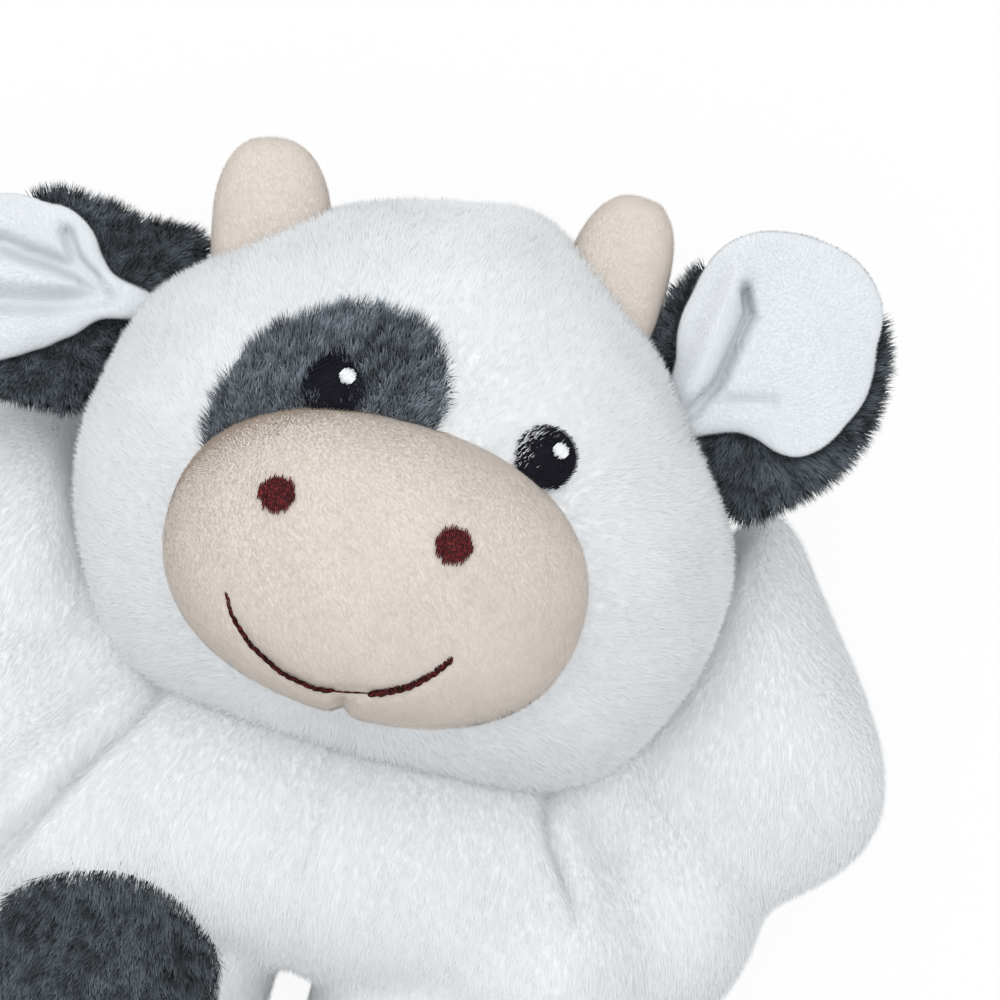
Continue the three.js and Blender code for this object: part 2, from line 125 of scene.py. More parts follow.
def piece(name, bm, material=None):
    """A new smooth-shaded object from a bmesh."""
    bmesh.ops.recalc_face_normals(bm, faces=bm.faces)
    mesh = bpy.data.meshes.new(name)
    bm.to_mesh(mesh)
    bm.free()
    mesh.shade_smooth()
    obj = bpy.data.objects.new(name, mesh)
    bpy.context.collection.objects.link(obj)
    if material:
        mesh.materials.append(material)
    return obj


def hull_of(bm, node):
    """Adds the closed outer form of a node's copy."""
    source = frame["nodes"][node].data
    verts = [bm.verts.new(v.co) for v in source.vertices]
    bmesh.ops.remove_doubles(bm, verts=verts, dist=0.01 * MM)
    verts = [v for v in verts if v.is_valid]
    made = bmesh.ops.convex_hull(bm, input=verts)
    spare = [g for g in made["geom_interior"] if isinstance(g, bmesh.types.BMVert)]
    bmesh.ops.delete(bm, geom=spare, context="VERTS")


def ball(bm, middle, size, squareness=2.0, taper=0.0, levels=4):
    """Adds a stuffed ball: pushed out towards its corners, narrower at its high-Y end."""
    made = bmesh.ops.create_icosphere(bm, subdivisions=levels, radius=1)
    for v in made["verts"]:
        x, y, z = v.co
        reach = abs(x) ** squareness + abs(y) ** squareness + abs(z) ** squareness
        v.co /= reach ** (1 / squareness)
        v.co.x *= 1 - taper * v.co.y
        v.co = Vector(c * s / 2 * MM for c, s in zip(v.co, size))
        v.co += Vector(middle) * MM
    return made["verts"]


def globe(bm, around, rings, radius=1):
    """Adds a round ball whose faces lie in the same order in each run, as the pile needs."""
    rows = [[bm.verts.new((0, 0, radius))] * around]
    for down in np.linspace(0, pi, rings + 1)[1:-1]:
        reach, height = radius * sin(down), radius * cos(down)
        rows.append([bm.verts.new((reach * cos(turn), reach * sin(turn), height))
                     for turn in pi / 2 + np.linspace(0, 2 * pi, around, endpoint=False)])
    rows.append([bm.verts.new((0, 0, -radius))] * around)
    for high, low in zip(rows, rows[1:]):
        for i in range(around):
            corners = (low[i - 1], low[i], high[i], high[i - 1])
            bm.faces.new(list(dict.fromkeys(corners)))
    return list(dict.fromkeys(sum(rows, [])))


@cache
def outline_reach(outline, middle, steps=360):
    """How far an outline lies from its middle at even turns, with its corners rounded."""
    spokes = np.array(outline, float) - np.array(middle)
    turns = np.arctan2(spokes[:, 1], spokes[:, 0])
    order = np.argsort(turns)
    even = np.linspace(-pi, pi, steps, endpoint=False)
    reach = np.interp(even, turns[order], np.hypot(*spokes.T)[order], period=2 * pi)
    for _ in range(3):
        reach = sum(np.roll(reach, shift) for shift in range(-3, 4)) / 7
    return even, reach


def share_out(x, y, middle, reach):
    """How far out a place lies: 0 in the middle of an outline and 1 on it."""
    dx, dy = x - middle[0], y - middle[1]
    return hypot(dx, dy) / np.interp(atan2(dy, dx), *reach, period=2 * pi)


def leaf(outline, middle, height, thickness, fullness=0.7, inset=0.0, around=144, rings=64):
    """A closed padded sheet inside an outline seen from the front. Its middle layer's height
    follows from the place, the side (1 in front, -1 behind) and the fullness there."""
    turns, reach = outline_reach(outline, middle)
    reach = turns, reach - inset
    bm = bmesh.new()
    for v in globe(bm, around, rings):
        turn = atan2(v.co.y, v.co.x)
        spoke = hypot(v.co.x, v.co.y) * np.interp(turn, *reach, period=2 * pi)
        x, y = middle[0] + cos(turn) * spoke, middle[1] + sin(turn) * spoke
        puff = abs(v.co.z) ** fullness
        side = 1 if v.co.z > 0 else -1
        z = height(Vector((x, y)), side, puff) + side * puff * thickness / 2
        v.co = Vector((x, y, z)) * MM
    return bm


def thread(bm, start, end, width):
    """Adds one run of thread between two places, a little flattened."""
    start, end = Vector(start), Vector(end)
    verts = globe(bm, 6, 6, 0.5)
    turn = (end - start).to_track_quat("Z", "Y").to_matrix().to_4x4()
    size = Matrix.Diagonal((width, width * 0.8, (end - start).length + width * 0.6, 1))
    place = Matrix.Scale(MM, 4) @ Matrix.Translation((start + end) / 2)
    bmesh.ops.transform(bm, verts=verts, matrix=place @ turn @ size)


def satin(middle, radius, front, lift, angle, pitch, ragged, dice, pointed=False):
    """A round of satin stitch: a pad under rows of thread that follow the cloth's front."""
    def drawn(place):
        """The place, drawn out towards the point where the round has one."""
        away = place - middle
        if pointed and away.dot(POINT_WAY) > 0:
            across = away.dot(POINT_WAY.orthogonal()) / radius
            away += POINT_WAY * away.dot(POINT_WAY) * 0.42 * max(1 - abs(across) * 1.3, 0)
        return middle + away

    turns = np.linspace(0, 2 * pi, 48)[:-1]
    ring = [drawn(middle + Vector((cos(t), sin(t))) * (radius - PAD_INSET)) for t in turns]
    bm = leaf(tuple(tuple(place) for place in ring), tuple(middle),
              lambda place, *_: front(place) + lift, PAD_THICKNESS, around=36, rings=16)
    along = Vector((cos(angle), sin(angle)))
    across = Vector((-along.y, along.x))
    rows = int(radius / pitch)
    for row in range(-rows, rows + 1):
        offset = row * pitch
        half = max(radius ** 2 - offset ** 2, 0.3) ** 0.5
        low = -half - dice.uniform(-ragged, ragged) / 2
        high = half + dice.uniform(-ragged, ragged) / 2
        runs = max(1, round((high - low) / STITCH_RUN))
        stops = [low + (high - low) * (i + (dice.uniform(-0.3, 0.3) if 0 < i < runs else 0)) / runs
                 for i in range(runs + 1)]
        for a, b in zip(stops, stops[1:]):
            ends = [drawn(middle + across * offset + along * stop) for stop in (a, b)]
            height = lift + 0.5 + dice.uniform(0, 0.18)
            thread(bm, *((*place, front(place) + height) for place in ends), pitch * 1.25)
    return bm


def relaxed(obj, voxel, rounds, swell):
    """Evens out an object's faces, rounds its edges and fills it out."""
    even = obj.modifiers.new("Even faces", "REMESH")
    even.mode = "VOXEL"
    even.voxel_size = voxel * MM
    soft = obj.modifiers.new("Soften", "SMOOTH")
    soft.factor = 0.5
    soft.iterations = rounds
    full = obj.modifiers.new("Fill", "DISPLACE")
    full.strength = swell * MM
    full.mid_level = 0
    return applied(obj)


def near(point, middle, radius):
    """1 at the middle, falling smoothly to 0 at the radius."""
    share = min((point - middle).length / radius, 1)
    return (1 - share * share) ** 2


def wire(tree, kind, inputs=(), **settings):
    """Adds a node, sets it up and feeds its inputs with values or other nodes' sockets."""
    node = tree.nodes.new(kind)
    for name, value in settings.items():
        setattr(node, name, value)
    for key, value in dict(inputs).items():
        if isinstance(value, bpy.types.NodeSocket):
            tree.links.new(value, node.inputs[key])
        else:
            node.inputs[key].default_value = value
    return node


def maths(tree, operation, a, b, **settings):
    """Adds a sum of two numbers or sockets, and gives its result."""
    return wire(tree, "ShaderNodeMath", {0: a, 1: b}, operation=operation, **settings).outputs[0]


def stored(tree, name, kind):
    """Adds a mesh attribute to the tree."""
    node = wire(tree, "GeometryNodeInputNamedAttribute", {"Name": name}, data_type=kind)
    return node.outputs[0]


def mixed(tree, share, low, high):
    """Adds a mix of two colours."""
    node = wire(tree, "ShaderNodeMix", {0: share, 6: low, 7: high}, data_type="RGBA")
    return node.outputs[2]


def ranged(tree, value, low, high, top=1.0):
    """Adds a range that rises from 0 at a low value to its top at a high one."""
    node = wire(tree, "ShaderNodeMapRange", {0: value, 1: low, 2: high, 3: 0.0, 4: top})
    return node.outputs[0]


def socket(tree, name, kind, way="INPUT"):
    tree.interface.new_socket(name, in_out=way, socket_type=f"NodeSocket{kind}")


def pile_tree():
    """Geometry nodes that plant leaning strands over a skin and keep the skin with them."""
    tree = bpy.data.node_groups.new("Pile", "GeometryNodeTree")
    socket(tree, "Skin", "Geometry")
    socket(tree, "Strand", "Object")
    for name in ("Density", "Length", "Width", "Lean", "Clump"):
        socket(tree, name, "Float")
    socket(tree, "Away from", "Vector")
    socket(tree, "Seed", "Int")
    socket(tree, "Pile", "Geometry", "OUTPUT")
    given = wire(tree, "NodeGroupInput").outputs
    kept = maths(tree, "SUBTRACT", 1.0, stored(tree, "bare", "FLOAT"), use_clamp=True)
    thick = maths(tree, "MULTIPLY", given["Density"], kept)
    per_metre = maths(tree, "MULTIPLY", thick, 1 / MM ** 2)
    cap = stored(tree, "cap", "BOOLEAN")
    grown = wire(tree, "FunctionNodeBooleanMath", {0: cap}, operation="NOT")
    spread = wire(tree, "GeometryNodeDistributePointsOnFaces",
                  {"Mesh": given["Skin"], "Selection": grown.outputs[0],
                   "Density": per_metre, "Seed": given["Seed"]})
    place = wire(tree, "GeometryNodeInputPosition").outputs[0]

    def vector(operation, *terms, **more):
        """Adds a sum of vectors, and gives its result."""
        feeds = dict(enumerate(terms), **more)
        node = wire(tree, "ShaderNodeVectorMath", feeds, operation=operation)
        return node.outputs["Value" if operation == "DOT_PRODUCT" else "Vector"]

    # The skin's own normal, or beside a flat cut the one from before it.
    uncut = stored(tree, "uncut", "FLOAT_VECTOR")
    faint = vector("SCALE", spread.outputs["Normal"], Scale=0.001)
    normal = vector("NORMALIZE", vector("ADD", uncut, faint))
    # The lie of the pile: away from a point, along the skin.
    away = vector("NORMALIZE", vector("SUBTRACT", place, given["Away from"]))
    upright = vector("SCALE", normal, Scale=vector("DOT_PRODUCT", away, normal))
    along = vector("SUBTRACT", away, upright)
    lean = vector("SCALE", along, Scale=given["Lean"])
    tufts = wire(tree, "ShaderNodeTexNoise", {"Vector": place, "Scale": 420.0, "Detail": 2.0})
    swirl = wire(tree, "ShaderNodeTexNoise", {"Vector": place, "Scale": 60.0, "Detail": 1.0})
    half = (0.5, 0.5, 0.5)
    clump = vector("SCALE", vector("SUBTRACT", tufts.outputs["Color"], half), Scale=given["Clump"])
    drift = vector("SCALE", vector("SUBTRACT", swirl.outputs["Color"], half), Scale=DRIFT)
    stray = wire(tree, "FunctionNodeRandomValue",
                 {0: (-STRAY,) * 3, 1: (STRAY,) * 3, "Seed": 11}, data_type="FLOAT_VECTOR")
    heading = normal
    for part in (lean, clump, drift, stray.outputs[0]):
        heading = vector("ADD", heading, part)
    turn = wire(tree, "FunctionNodeAxesToRotation", {0: heading, 1: normal},
                primary_axis="Z", secondary_axis="Y")
    shorter, longer = LENGTH_SPAN
    dice = wire(tree, "FunctionNodeRandomValue",
                {2: shorter, 3: longer, "Seed": 5}, data_type="FLOAT")
    long = maths(tree, "MULTIPLY", given["Length"], dice.outputs[1])
    size = wire(tree, "ShaderNodeCombineXYZ", {0: given["Width"], 1: given["Width"], 2: long})
    # A strand's tone: its own share, its tuft's and that of the broad clouds in the fabric.
    own = wire(tree, "FunctionNodeRandomValue", {2: 0.0, 3: 0.3, "Seed": 9}, data_type="FLOAT")
    wisp = ranged(tree, tufts.outputs[0], 0.43, 0.57, 0.45)
    cloud = ranged(tree, swirl.outputs[0], 0.35, 0.65, 0.25)
    tone = maths(tree, "ADD", own.outputs[1], wisp)
    tone = maths(tree, "ADD", tone, cloud)
    points = spread.outputs["Points"]
    for name, value, kind in (("tone", tone, "FLOAT"), ("lie", normal, "FLOAT_VECTOR")):
        points = wire(tree, "GeometryNodeStoreNamedAttribute",
                      {"Geometry": points, "Name": name, "Value": value},
                      data_type=kind, domain="POINT").outputs[0]
    strand = wire(tree, "GeometryNodeObjectInfo", {"Object": given["Strand"], "As Instance": True})
    planted = wire(tree, "GeometryNodeInstanceOnPoints",
                   {"Points": points, "Instance": strand.outputs["Geometry"],
                    "Rotation": turn.outputs[0], "Scale": size.outputs[0]})
    real = wire(tree, "GeometryNodeRealizeInstances", {"Geometry": planted.outputs[0]})
    both = wire(tree, "GeometryNodeJoinGeometry", {"Geometry": given["Skin"]})
    tree.links.new(real.outputs[0], both.inputs["Geometry"])
    wire(tree, "NodeGroupOutput", {"Pile": both.outputs[0]})
    return tree


def marked(obj, name, values):
    """Stores a number at each of an object's vertices."""
    made = obj.data.attributes.new(name, "FLOAT", "POINT")
    made.data.foreach_set("value", values)


def strand_shape():
    """One strand: a pointed blade, a unit long, whose tip and sides are marked."""
    bm = bmesh.new()
    bm.faces.new([bm.verts.new(place) for place in ((-1, 0, -0.08), (0, 0, 1), (1, 0, -0.08))])
    obj = piece("strand", bm)
    marked(obj, "tip", [max(v.co.z, 0) for v in obj.data.vertices])
    marked(obj, "side", [v.co.x for v in obj.data.vertices])
    return obj


def read(mesh, name, width=1):
    """The values of a mesh's attribute at its vertices, or zeros where it has none."""
    found = mesh.attributes.get(name)
    out = np.zeros(len(mesh.vertices) * width, np.float32)
    if found:
        found.data.foreach_get("vector" if width == 3 else "value", out)
    return out.reshape(-1, width) if width > 1 else out


def with_pile(obj, fabric, lie, away_from, seed, skin_tone=0.9, short=1.0):
    """Plants strands on an object's skin. The map OFBake holds each strand's tone and height."""
    pile = bpy.context.scene.plush_pile
    density, length = (getattr(pile, f"{fabric}_{name}") for name in ("density", "length"))
    width = STRAND_WIDTHS[fabric]
    grow = obj.modifiers.new("Pile", "NODES")
    grow.node_group = bpy.data.node_groups.get("Pile") or pile_tree()
    strand = bpy.data.objects.get("strand") or strand_shape()
    values = {"Strand": strand, "Density": density, "Length": length * short,
              "Width": width * MM, "Lean": lie[0], "Clump": lie[1],
              "Away from": Vector(away_from) * MM, "Seed": seed}
    for item in grow.node_group.interface.items_tree:
        if item.name in values and item.in_out == "INPUT":
            grow[item.identifier] = values[item.name]
    cloth = obj.data.materials[0]
    applied(obj)
    mesh = obj.data
    # The strands come with an empty material slot of their own.
    mesh.materials.clear()
    mesh.materials.append(cloth)
    mesh.polygons.foreach_set("material_index", np.zeros(len(mesh.polygons), np.int32))
    places = np.empty(len(mesh.vertices) * 3, np.float32)
    mesh.vertices.foreach_get("co", places)
    places = places.reshape(-1, 3)
    tone, tip, side, lie = (read(mesh, n, w) for n, w in
                            (("tone", 1), ("tip", 1), ("side", 1), ("lie", 3)))
    planted = np.linalg.norm(lie, axis=1) > 0.5
    wave = np.sin(places @ np.array([410, 330, 370], np.float32))
    u = np.where(planted, 0.04 + 0.92 * tone + 0.02 * side, 0.5 + 0.2 * wave)
    ripple = np.cos(places @ np.array([350, 420, 310], np.float32))
    # Bare skin takes its colour from the strands' root-to-tip ramp at skin_tone: the lower it is,
    # the more of the roots' painted shade it gets.
    v = np.where(planted, 0.02 + 0.96 * tip, skin_tone + 0.05 * ripple)
    corner = np.empty(len(mesh.loops), np.int32)
    mesh.loops.foreach_get("vertex_index", corner)
    layer = mesh.uv_layers.new(name="OFBake", do_init=False)
    layer.data.foreach_set("uv", np.stack([u[corner], v[corner]], 1).astype(np.float32).ravel())
    mesh.shade_smooth()
    own = np.empty(len(mesh.vertices) * 3, np.float32)
    mesh.vertex_normals.foreach_get("vector", own)
    own = own.reshape(-1, 3)
    uncut = read(mesh, "uncut", 3)
    skin = np.where(np.linalg.norm(uncut, axis=1)[:, None] > 0.5, uncut, own)
    aim = np.where(planted[:, None], lie + 0.2 * own, skin)
    aim /= np.maximum(np.linalg.norm(aim, axis=1), 1e-6)[:, None]
    mesh.normals_split_custom_set_from_vertices(aim.tolist())
    for name in ("tone", "tip", "side", "lie", "bare", "cap", "uncut"):
        if name in mesh.attributes:
            mesh.attributes.remove(mesh.attributes[name])
    return obj


def shader(name):
    """A new material with its Principled shader and its tree."""
    mat = bpy.data.materials.new(name)
    mat.use_nodes = True
    return mat, mat.node_tree, mat.node_tree.nodes["Principled BSDF"]


def pile_tones():
    """Group: a strand's colour, from its height and its own tone. Its root colour is painted shade
    deep in the pile.
    """
    tree = bpy.data.node_groups.get("Pile tones")
    if tree:
        return tree
    tree = bpy.data.node_groups.new("Pile tones", "ShaderNodeTree")
    # Root: painted shade deep in the pile. Tip: the fabric's own colour.
    socket(tree, "Root", "Color")
    socket(tree, "Tip", "Color")
    socket(tree, "Contrast", "Float")
    socket(tree, "Bend", "Float")
    socket(tree, "Color", "Color", "OUTPUT")
    given = wire(tree, "NodeGroupInput").outputs
    where = wire(tree, "ShaderNodeUVMap", uv_map="OFBake")
    parts = wire(tree, "ShaderNodeSeparateXYZ", {0: where.outputs[0]})
    # From the roots' painted shade up to the tips' colour; a higher bend keeps the painted shade
    # further up the strand.
    height = maths(tree, "POWER", parts.outputs[1], given["Bend"])
    blend = mixed(tree, height, given["Root"], given["Tip"])
    low = maths(tree, "SUBTRACT", 1.0, given["Contrast"])
    high = maths(tree, "ADD", 1.0, given["Contrast"])
    gain = wire(tree, "ShaderNodeMapRange", {0: parts.outputs[0], 3: low, 4: high})
    toned = wire(tree, "ShaderNodeVectorMath",
                 {0: blend, "Scale": gain.outputs[0]}, operation="SCALE")
    wire(tree, "NodeGroupOutput", {0: toned.outputs[0]})
    return tree


def pile_material(name, root, tip, contrast, bend=1.0):
    """Pile fabric, from the colours of its strands' roots and tips. The darker root colour is
    painted shade deep in the pile.
    """
    mat, tree, surface = shader(name)
    tones = wire(tree, "ShaderNodeGroup",
                 {"Root": (*root, 1), "Tip": (*tip, 1), "Contrast": contrast, "Bend": bend},
                 node_tree=pile_tones())
    tree.links.new(tones.outputs[0], surface.inputs["Base Color"])
    surface.inputs["Roughness"].default_value = 0.9
    surface.inputs["Specular IOR Level"].default_value = 0.2
    return mat


def thread_material(name, colour, pale):
    """Stitching thread, its colour flecked with a paler one."""
    mat, tree, surface = shader(name)
    where = wire(tree, "ShaderNodeTexCoord").outputs["Object"]
    fibres = wire(tree, "ShaderNodeTexNoise", {"Vector": where, "Scale": 2600.0, "Detail": 2.0})
    flecks = ranged(tree, fibres.outputs[0], 0.45, 0.72)
    toned = mixed(tree, flecks, (*colour, 1), (*pale, 1))
    bump = wire(tree, "ShaderNodeBump",
                {"Height": fibres.outputs[0], "Strength": 0.4, "Distance": 0.3 * MM})
    tree.links.new(toned, surface.inputs["Base Color"])
    tree.links.new(bump.outputs[0], surface.inputs["Normal"])
    surface.inputs["Roughness"].default_value = 0.6
    surface.inputs["Specular IOR Level"].default_value = 0.08
    return mat


def moulded_material(name, colour, roughness):
    """Moulded plastic with faint flow marks."""
    mat, tree, surface = shader(name)
    where = wire(tree, "ShaderNodeTexCoord").outputs["Object"]
    flow = wire(tree, "ShaderNodeTexNoise", {"Vector": where, "Scale": 300.0, "Detail": 2.0})
    toned = mixed(tree, flow.outputs[0], (*(c * 0.92 for c in colour), 1), (*colour, 1))
    tree.links.new(toned, surface.inputs["Base Color"])
    surface.inputs["Roughness"].default_value = roughness
    return mat


HEAD_MIDDLE = Vector((-3, 65, 43))
HEAD_SIZE = (112, 96, 87)
HEAD_SQUARENESS = 2.25
HEAD_OUTLINE = (
    (-28, 105.3), (-18, 109.6), (-9, 112.2), (1.9, 114.9), (6.9, 114.3), (12.2, 112), (17.7, 108.5),
    (23.3, 104), (28.9, 99.6), (34.2, 94.8), (38.7, 88.7), (43.5, 82.3), (49.2, 76.2), (53.4, 67.9),
    (54.8, 61.4), (54.8, 55.4), (53.8, 49.4), (51.8, 43), (49.3, 36.3), (45.8, 30), (41.2, 24.9),
    (34.9, 21), (27.8, 18.8), (17.9, 17.3), (9.5, 16.6), (1, 16.4), (-7.7, 16.5), (-16.4, 17.1),
    (-25.4, 18.5), (-32.7, 19.7), (-37.7, 21.5), (-41.9, 24.3), (-45.6, 28.3), (-50.1, 34.8),
    (-53.5, 40.7), (-56, 46.9), (-58, 54), (-58.2, 60.9), (-57, 68.6), (-55.4, 76.3), (-53.6, 82.5),
    (-48.9, 88.1), (-44, 92.3), (-36.3, 98.5))
MUZZLE_MIDDLE = Vector((-2.5, 51, 82))
MUZZLE_SIZE = (67, 47, 46)
MUZZLE_SQUARENESS = 2.2
STRAND_WIDTHS = {"white": 0.1, "dark": 0.095, "velour": 0.09}
LENGTH_SPAN = (0.65, 1.1)  # of the strands, as shares of their fabric's length
DRIFT = 1.6  # how far the lie of the pile wanders over the fabric
STRAY = 0.28  # how far each strand strays from it
# How far the strands lean along the skin, and how far their tufts part.
WHITE_LIE = (2.2, 1.0)
DARK_LIE = (0.9, 2.2)
EAR_LIE = (1.0, 2.4)
PEACH_LIE = (2.4, 0.7)
LINING_LIE = (2.0, 1.0)
REST_HEIGHT = 3.0  # of the places on the torso and the head that carry no pile
FRONT_HEIGHT = 24.0  # above it lies the front of the body
MUZZLE_FRONT_HEIGHT = 60
BODY_BOTTOM = 1.0
HEAD_BOTTOM = 0.4
PAD_INSET = 0.4
PAD_THICKNESS = 1.2
STITCH_RUN = 3.2  # the longest run of satin thread, about
HORN_LENGTH = 31
HORN_DEPTH = 16
HORN_SQUARENESS = 2.6
HORN_TAPER = 0.08
# Horns: their tips, how far they lean to the toy's left in degrees, and their widths.
HORNS = {"horn_left": ((22.5, 122.6, 48), 3, 18), "horn_right": ((-41.2, 115, 48), -16, 20.5)}
EYE_RADIUS = 5.1
LEFT_EYE = Vector((18.3, 74.9))
RIGHT_EYE = Vector((-16.6, 76.2))
# Eyes: middle, the glint's place from there, lift off the head and tilt.
EYES = {
    "left": (LEFT_EYE, Vector((2, 1.7)), 0.45, 0.13),
    "right": (RIGHT_EYE, Vector((1.9, 2.2)), 1.2, 0.1),
}
GLINT_RADIUS = 1.2
NOSTRIL_RADIUS = 2.85
BARE_EYE = 0.8  # the share of an eye's radius that carries no pile under it
# Ways across the face: where the patch's eye comes to a point, and where the eyes stand proud.
POINT_WAY = Vector((-0.05, 1)).normalized()
SUNK_WAY = Vector((0.8, -0.6))
NOSTRILS = {"nostril_left": Vector((8.6, 58.2)), "nostril_right": Vector((-18.8, 58.3))}
SMILE = ((-22.1, 42.1), (-20.6, 38.9), (-16.8, 35.3), (-11.2, 32.3), (-5.6, 31.4), (-1.2, 32.3),
         (3.9, 33.7), (7.9, 36.0), (10.9, 39.1), (12.8, 41.9))
CHIN_PINCH = ((-1.4, 31.5), (-1.8, 26))
# Outlines seen from the front, each with its middle.
PATCH = (((-34.2, 60.4), (-35, 67.8), (-34.2, 73.2), (-31.4, 79.6), (-27.4, 84.3), (-22, 88),
          (-16, 90.6), (-10, 90.8), (-4, 89.4), (-0.2, 85.4), (1.6, 79.5), (0.6, 70), (-8, 65),
          (-20, 60), (-31, 56)), (-18, 75))
SPOT = (((-48.9, -26.5), (-48.7, -22), (-45.8, -17.3), (-41.3, -13.8), (-36.3, -11.5),
         (-29.4, -10), (-22, -11), (-16, -15), (-11.9, -20.5), (-10.3, -28),
         (-11, -38), (-16, -48), (-25, -56), (-36, -59), (-47, -56), (-54, -47), (-54, -37)),
        (-33, -36))
PATCH_THICKNESS = 1.6  # of the patch and the spot
PATCH_SINK = 0.2
EAR_HEIGHT = 45.5
EAR_CUP = 4.0
EAR_THICKNESS = 5.5
LINING_THICKNESS = 5.6
LINING_LIFT = 4.4
DEEPEST_FOLD = 3.6
EARS = {
    "left": {
        "hinge": (41, 89), "across": (0.643, -0.766),
        "lining": ((
            (36.8, 88.4), (35.6, 97.6), (34.1, 104.2), (34.9, 109), (36, 114.7), (38, 118.3),
            (42.1, 121.4), (47.7, 123), (54.7, 123.2), (60, 122.1), (64.2, 119.2), (67, 115.6),
            (67.4, 109), (68.2, 104.1), (68, 99.7), (66, 95.1), (63.4, 90.2), (59.7, 87.2),
            (56, 87.2), (52.6, 88.6), (48.9, 89), (44.9, 87.6), (38.8, 84.8),
        ), (52, 104)),
        "back": ((
            (28.4, 100.2), (30.2, 105.2), (32.4, 110.5), (34.6, 114.2), (37.8, 117),
            (42.2, 119.6), (48.8, 121.4), (55.1, 121.6), (60.5, 120.4), (64.5, 117.8),
            (67.9, 115.3), (70.5, 110.2), (71.7, 105.2), (71.8, 101.1), (71.5, 97.1),
            (70.6, 93.4), (68.6, 88.2), (65.3, 83.4), (61.1, 79.4), (56.9, 75.6), (54.7, 73.8),
            (50.2, 75.3), (45.2, 79.2), (40.2, 84),
        ), (52, 98)),
        "folds": (
            (((38.6, 86.8), (40.2, 89.7), (43.3, 95.4), (44.4, 102.8), (45, 108.2),
              (43.2, 111.7)), 6.4, 0.85),
            (((38.6, 93), (40, 102.7), (40.6, 109), (41, 114)), -3.2, 2.8),
            (((40.3, 89.5), (45.4, 92.7), (52.7, 94.6)), 1.7, 1.4),
            (((50, 98), (56, 108), (55, 116)), -1.2, 9.0),
        ),
    },
    "right": {
        "hinge": (-54, 78.5), "across": (0.139, 0.99),
        "lining": ((
            (-82.9, 93), (-78.1, 94), (-74.5, 93.6), (-71.4, 94), (-68.9, 93.3), (-65.8, 91.3),
            (-63.6, 88), (-61.3, 85.5), (-58.7, 84.3), (-50, 83.2), (-51, 80.2), (-60.1, 78.2),
            (-62.3, 76), (-66.3, 72), (-70.2, 69), (-73.5, 66.8), (-78, 64.6), (-83.4, 63.6),
            (-91, 65.3), (-95.4, 70.5), (-96.6, 78.9), (-94.4, 86.4), (-89.4, 90.7),
        ), (-73, 80)),
        "back": ((
            (-78.7, 94.5), (-76.5, 96.1), (-72, 97.4), (-68.2, 96.9), (-62.7, 97.2),
            (-60.4, 95.8), (-55.5, 95.7), (-49.8, 96.9), (-45.3, 95.3), (-46.6, 91.7),
            (-49.6, 86.8), (-51.3, 81.2), (-53.3, 76.9), (-56.7, 71.7), (-59.3, 63.9),
            (-61.5, 60.2), (-67.4, 60.2), (-74, 59.9), (-82.7, 59.6), (-91.5, 62.3),
            (-96.6, 70.2), (-97, 80.4), (-93, 87.6), (-86.5, 91.3),
        ), (-68, 80)),
        "folds": (
            (((-90.9, 83.6), (-80.7, 85.3), (-75.4, 84.7), (-70.6, 84.5), (-63.9, 83.5)), 4.2, 1.5),
            (((-69.8, 89.8), (-67.6, 86.5), (-63.9, 83.5)), 3.6, 1.2),
            (((-87.8, 73), (-78, 75.6), (-69.9, 77.6), (-61, 81.2)), 3.4, 2.0),
            (((-90, 78.5), (-76, 80.5), (-66, 81.5)), -1.8, 3.4),
            (((-84, 68), (-72, 72)), -1.6, 4.0),
        ),
    },
}
# Balls of stuffing on either side of the body: middle, shift to the left, size, squareness.
STUFFING = (
    ((26.8, -32, 29.5), 0, (45, 60, 53), 2.0),  # thigh
    ((15.6, -31, 32), 1.2, (21, 54, 32), 2.4),  # inner thigh
    ((58, 4, 26), 0, (40, 44, 46), 2.0),  # flank
    ((40, -6, 32), 0, (48, 42, 57), 2.0),  # hip
    ((42, 20, 29), 0, (30, 30, 38), 2.0),  # shoulder
)
# The facing of the cut at the left shoulder, and how far along it the cut lies from the middle, in
# millimetres.
ARM_FACING = Vector((0.397, 0.918, 0))
ARM_LINE = 34.1
# Flat cuts through the body at the hips, the crotch and both shoulders, each with its facing.
CUTS = (
    ((0, -13, 0), (0, 1, 0)),
    ((0.5, 0, 0), (1, 0, 0)),
    (ARM_FACING * ARM_LINE, ARM_FACING),
    (ARM_FACING * ARM_LINE * Vector((-1, 1, 0)), ARM_FACING * Vector((-1, 1, 0))),
)
# The side of each cut that a part of the body keeps, 0 where it isn't cut there.
PARTS = {
    "torso": (1, 0, -1, -1),
    "arm_left": (1, 1, 1, 0),
    "arm_right": (1, -1, 0, 1),
    "leg_left": (-1, 1, 0, 0),
    "leg_right": (-1, -1, 0, 0),
}
# Seams and folds on the front of the body: their lines, depths and widths.
FOLDS = (
    (((-2.5, 27), (-0.9, 3.3), (0.4, -14.2), (0.5, -26)), 0.9, 1.3),
    (((34, 25), (37, 16.4), (40, 12), (43.2, 7.4), (44.4, 4)), 3.0, 1.5),
    (((-31, 27), (-35.8, 18.4), (-42, 8), (-46.7, -2.7), (-53.2, -14.8), (-60, -20)), 5.0, 2.2),
)
# Places on the left arm and between the legs that are drawn in or filled out: radius and shift.
PUSHES = (
    ((79, 66, 27), 30, (-6, -1.7, 0)),
    ((92, 26, 27), 24, (4.6, -0.6, 0)),
    ((6, -32, 34), 18, (3, 0, 0)),
    ((-4, -32, 34), 18, (-1.2, 0, 0)),
)


def pile_fabric(name, colour, root, contrast):
    """A pile fabric in one of the toy's colours, its roots at given shares of the tips' colour:
    painted shade deep in the pile.
    """
    tip = getattr(bpy.context.scene.plush_colours, colour)
    return bpy.data.materials.get(name) or pile_material(
        name, tuple(c * share for c, share in zip(tip, root)), tip, contrast)


